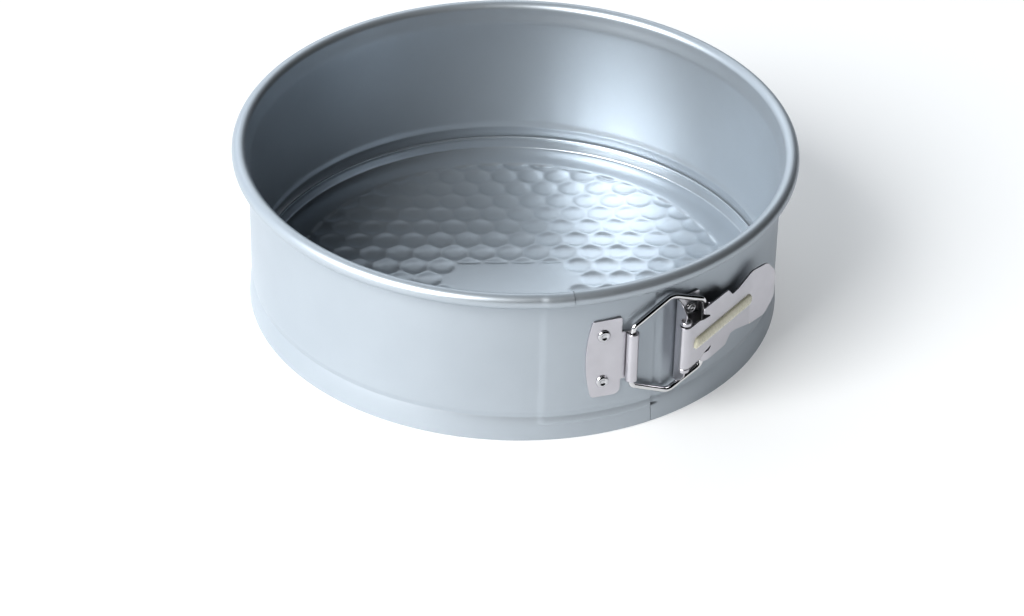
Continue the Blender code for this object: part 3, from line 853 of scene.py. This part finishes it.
def make_hook(side, material):
    """Hook behind the lever's side tab, which pulls the bail's far leg."""
    path = [Vector(point) for point in HOOK_PATH]
    lengths = [0.0]
    for first, second in zip(path, path[1:]):
        lengths.append(lengths[-1] + (second - first).length)

    def bend(s, v, n):
        i = min(sum(1 for length in lengths[1:-1] if length < s), len(path) - 2)
        step = path[i + 1] - path[i]
        point = path[i] + step * ((s - lengths[i]) / (lengths[i + 1] - lengths[i]))
        normal = Vector((-step.y, step.x)).normalized()
        return lever_to_world(point.x + normal.x * n, point.y + normal.y * n, v + side * HOOK_RISE)

    end = lengths[-1]
    outline = rounded([
        (0.0, -HOOK_HALF, 0.0), (end, -HOOK_HALF, 0.8), (end, HOOK_HALF, 0.8), (0.0, HOOK_HALF, 0.0),
    ])
    return pressed_sheet("hook", outline, LEVER_SHEET, bend, material, 0.4, edge=0.15)


def bracket_bend(s, v, n):
    """The bracket's sheet: a flange that stands on the wall where s is below zero, then a foot along it."""
    turn = BRACKET_BEND * math.pi / 2
    if s < 0.0:
        return to_world(BRACKET_AZIMUTH, n, BRACKET_RADIUS + BRACKET_BEND - s, LATCH_HEIGHT + v)
    if s < turn:
        angle, inner = s / BRACKET_BEND, BRACKET_BEND - n
        return to_world(BRACKET_AZIMUTH, BRACKET_BEND - inner * math.cos(angle),
                        BRACKET_RADIUS + BRACKET_BEND - inner * math.sin(angle), LATCH_HEIGHT + v)
    azimuth = BRACKET_AZIMUTH + math.degrees((BRACKET_BEND + s - turn) / BRACKET_RADIUS)
    return place(BRACKET_RADIUS + n, azimuth, LATCH_HEIGHT + v)


def make_bracket(materials):
    """Bracket with two ears whose ends are eyes round the lever's pin, and the pin itself."""
    def flange(radius):
        return BRACKET_RADIUS + BRACKET_BEND - radius

    def foot(azimuth):
        run = math.radians(azimuth - BRACKET_AZIMUTH) * BRACKET_RADIUS
        return run - BRACKET_BEND + BRACKET_BEND * math.pi / 2

    half = [
        (flange(119.3), EAR_GAP, 0.6), (flange(EAR_REACH), EAR_GAP, 0.3), (flange(EAR_REACH), 15.4, 3.0),
        (flange(120.6), 18.8, 3.0), (flange(117.6), BRACKET_HALF, 2.0), (foot(41.8), BRACKET_HALF, 1.2),
        (foot(41.8), 15.6, 0.5), (foot(40.55), 15.6, 0.4), (foot(40.55), 8.8, 0.4), (foot(49.0), 8.8, 2.5),
    ]
    outline = rounded(half + [(x, -y, r) for x, y, r in reversed(half)])
    sheet = pressed_sheet("lever_bracket_pressed", outline, BRACKET_SHEET, bracket_bend,
                          materials["nickel"], 0.55)
    eyes = []
    for side in (1, -1):
        low, high = side * EAR_GAP, side * (EAR_GAP + EYE_HEIGHT)
        rim = side * EYE_ROUNDING
        inner, outer = EYE_INSIDE + 0.15, EYE_OUTSIDE - EYE_ROUNDING
        section = [
            (EYE_INSIDE, low + rim), (EYE_INSIDE, high - rim), (inner, high), (outer, high),
            (EYE_OUTSIDE, high - rim), (EYE_OUTSIDE, low + rim), (outer, low), (inner, low),
        ]
        eyes.append(turned_piece("eye", section, LEVER_PIVOT, (0, 0, 1), materials["nickel"], closed=True))
    add_piece(join(sheet, *eyes), "ring_end", "nickel_plate", "lever_bracket")
    end = [(0.0, PIN_HALF), (PIN - 0.4, PIN_HALF), (PIN - 0.1, PIN_HALF - 0.12), (PIN, PIN_HALF - 0.4)]
    profile = end + [(radius, -height) for radius, height in reversed(end)]
    pin = turned_piece("lever_pin_turned", profile, LEVER_PIVOT, (0, 0, 1), materials["chrome"])
    add_piece(pin, "ring_end", "chrome_wire", "lever_pin")


def make_rivets(materials):
    """Domed rivet heads with a dimple in the middle, and their closed ends inside the wall."""
    plate_seat = PLATE_RADIUS + PLATE_SHEET / 2
    bracket_seat = BRACKET_RADIUS + BRACKET_SHEET / 2
    rows = [
        ("hinge_rivet_upper", PLATE_AZIMUTH, PLATE_RIVET_RISE, plate_seat, "ring"),
        ("hinge_rivet_lower", PLATE_AZIMUTH, -PLATE_RIVET_RISE, plate_seat, "ring"),
        ("bracket_rivet_upper", BRACKET_RIVET_AZIMUTH, BRACKET_RIVET_RISE, bracket_seat, "ring_end"),
        ("bracket_rivet_lower", BRACKET_RIVET_AZIMUTH, -BRACKET_RIVET_RISE, bracket_seat, "ring_end"),
    ]
    inside = WALL_MIDDLE - SHEET / 2
    for node, azimuth, rise, seat, body in rows:
        profile = [(0.0, inside - 0.45), (1.5, inside - 0.42), (2.1, inside - 0.2), (2.2, inside + 0.02),
                   (1.35, inside + 0.05), (1.35, seat - 0.02), (2.75, seat), (2.8, seat + 0.25)]
        profile += arc((1.75, seat + 0.1), 1.05, 10, 100, 8)
        profile += [(1.25, seat + 0.95), (1.0, seat + 0.7), (0.7, seat + 0.58), (0.0, seat + 0.55)]
        centre = Vector((0, 0, LATCH_HEIGHT + rise))
        item = turned_piece(node + "_set", profile, centre, place(1.0, azimuth), materials["rivet"])
        add_piece(item, body, "nickel_plate", node)


# ---------------------------------------------------------------- studio


def area_light(name, location, size, power, colour):
    """Rectangular lamp that shines at the pan."""
    light = bpy.data.lights.new(name, "AREA")
    light.shape = "RECTANGLE"
    light.size = size[0]
    light.size_y = size[1]
    light.energy = power
    light.color = colour
    item = bpy.data.objects.new(name, light)
    item.location = location
    item.rotation_euler = (Vector(LAMP_TARGET) - Vector(location)).to_track_quat("-Z", "Y").to_euler()
    bpy.context.scene.collection.objects.link(item)


def make_studio():
    """White table under a sky that is bright on the left, with a large soft lamp and a weak one behind."""
    scene = bpy.context.scene
    scene.view_settings.view_transform = "Standard"
    scene.view_settings.gamma = DISPLAY_GAMMA
    world = bpy.data.worlds.new("studio_air")
    world.use_nodes = True
    nodes, links = world.node_tree.nodes, world.node_tree.links
    coordinates = nodes.new("ShaderNodeTexCoord")
    facing = nodes.new("ShaderNodeVectorMath")
    facing.operation = "DOT_PRODUCT"
    facing.inputs[1].default_value = SKY_TOWARDS
    spread = nodes.new("ShaderNodeMapRange")
    for name, value in SKY.items():
        spread.inputs[name].default_value = value
    background = nodes["Background"]
    background.inputs["Color"].default_value = SKY_COLOUR
    links.new(coordinates.outputs["Generated"], facing.inputs[0])
    links.new(facing.outputs["Value"], spread.inputs["Value"])
    links.new(spread.outputs["Result"], background.inputs["Strength"])
    scene.world = world
    floor_material, nodes, _ = new_material("studio_floor")
    shader = nodes["Principled BSDF"]
    shader.inputs["Base Color"].default_value = FLOOR_COLOUR
    shader.inputs["Roughness"].default_value = 0.6
    shader.inputs["Emission Color"].default_value = FLOOR_GLOW_COLOUR
    shader.inputs["Emission Strength"].default_value = FLOOR_GLOW
    bpy.ops.mesh.primitive_plane_add(size=FLOOR_SIDE, location=(0, 0, 0))
    floor = bpy.context.object
    floor.name = "floor"
    floor.data.materials.append(floor_material)
    area_light("key", KEY_PLACE, KEY_SIZE, KEY_POWER, KEY_COLOUR)
    area_light("back", BACK_PLACE, BACK_SIZE, BACK_POWER, BACK_COLOUR)


def make_camera():
    """Camera in front of and above the pan, aimed a little below its middle and rolled slightly."""
    target = Vector((0, 0, CAMERA_TARGET_HEIGHT * MM))
    elevation, tilt, roll = (math.radians(a) for a in (CAMERA_ELEVATION, CAMERA_TILT, CAMERA_ROLL))
    back = Vector((0, -math.cos(elevation), math.sin(elevation)))
    forward, right = -back, Vector((1, 0, 0))
    up = right.cross(forward)
    aim = forward * math.cos(tilt) + up * math.sin(tilt)
    up = right.cross(aim)
    rolled_right = right * math.cos(roll) + up * math.sin(roll)
    rolled_up = up * math.cos(roll) - right * math.sin(roll)
    data = bpy.data.cameras.new("camera")
    data.lens = CAMERA_LENS
    data.sensor_width = 36.0
    data.clip_start = 0.05
    camera = bpy.data.objects.new("camera", data)
    matrix = Matrix.Identity(4)
    for column, axis in enumerate((rolled_right, rolled_up, -aim)):
        matrix.col[column][:3] = axis
    matrix.translation = target + back * CAMERA_DISTANCE * MM
    camera.matrix_world = matrix
    bpy.context.scene.collection.objects.link(camera)
    bpy.context.scene.camera = camera


def main():
    materials = make_materials()
    make_ring(materials)
    make_base(materials)
    make_hinge_plate(materials)
    make_bail(materials)
    make_lever(materials)
    make_rivets(materials)
    make_bracket(materials)
    make_studio()
    make_camera()


main()
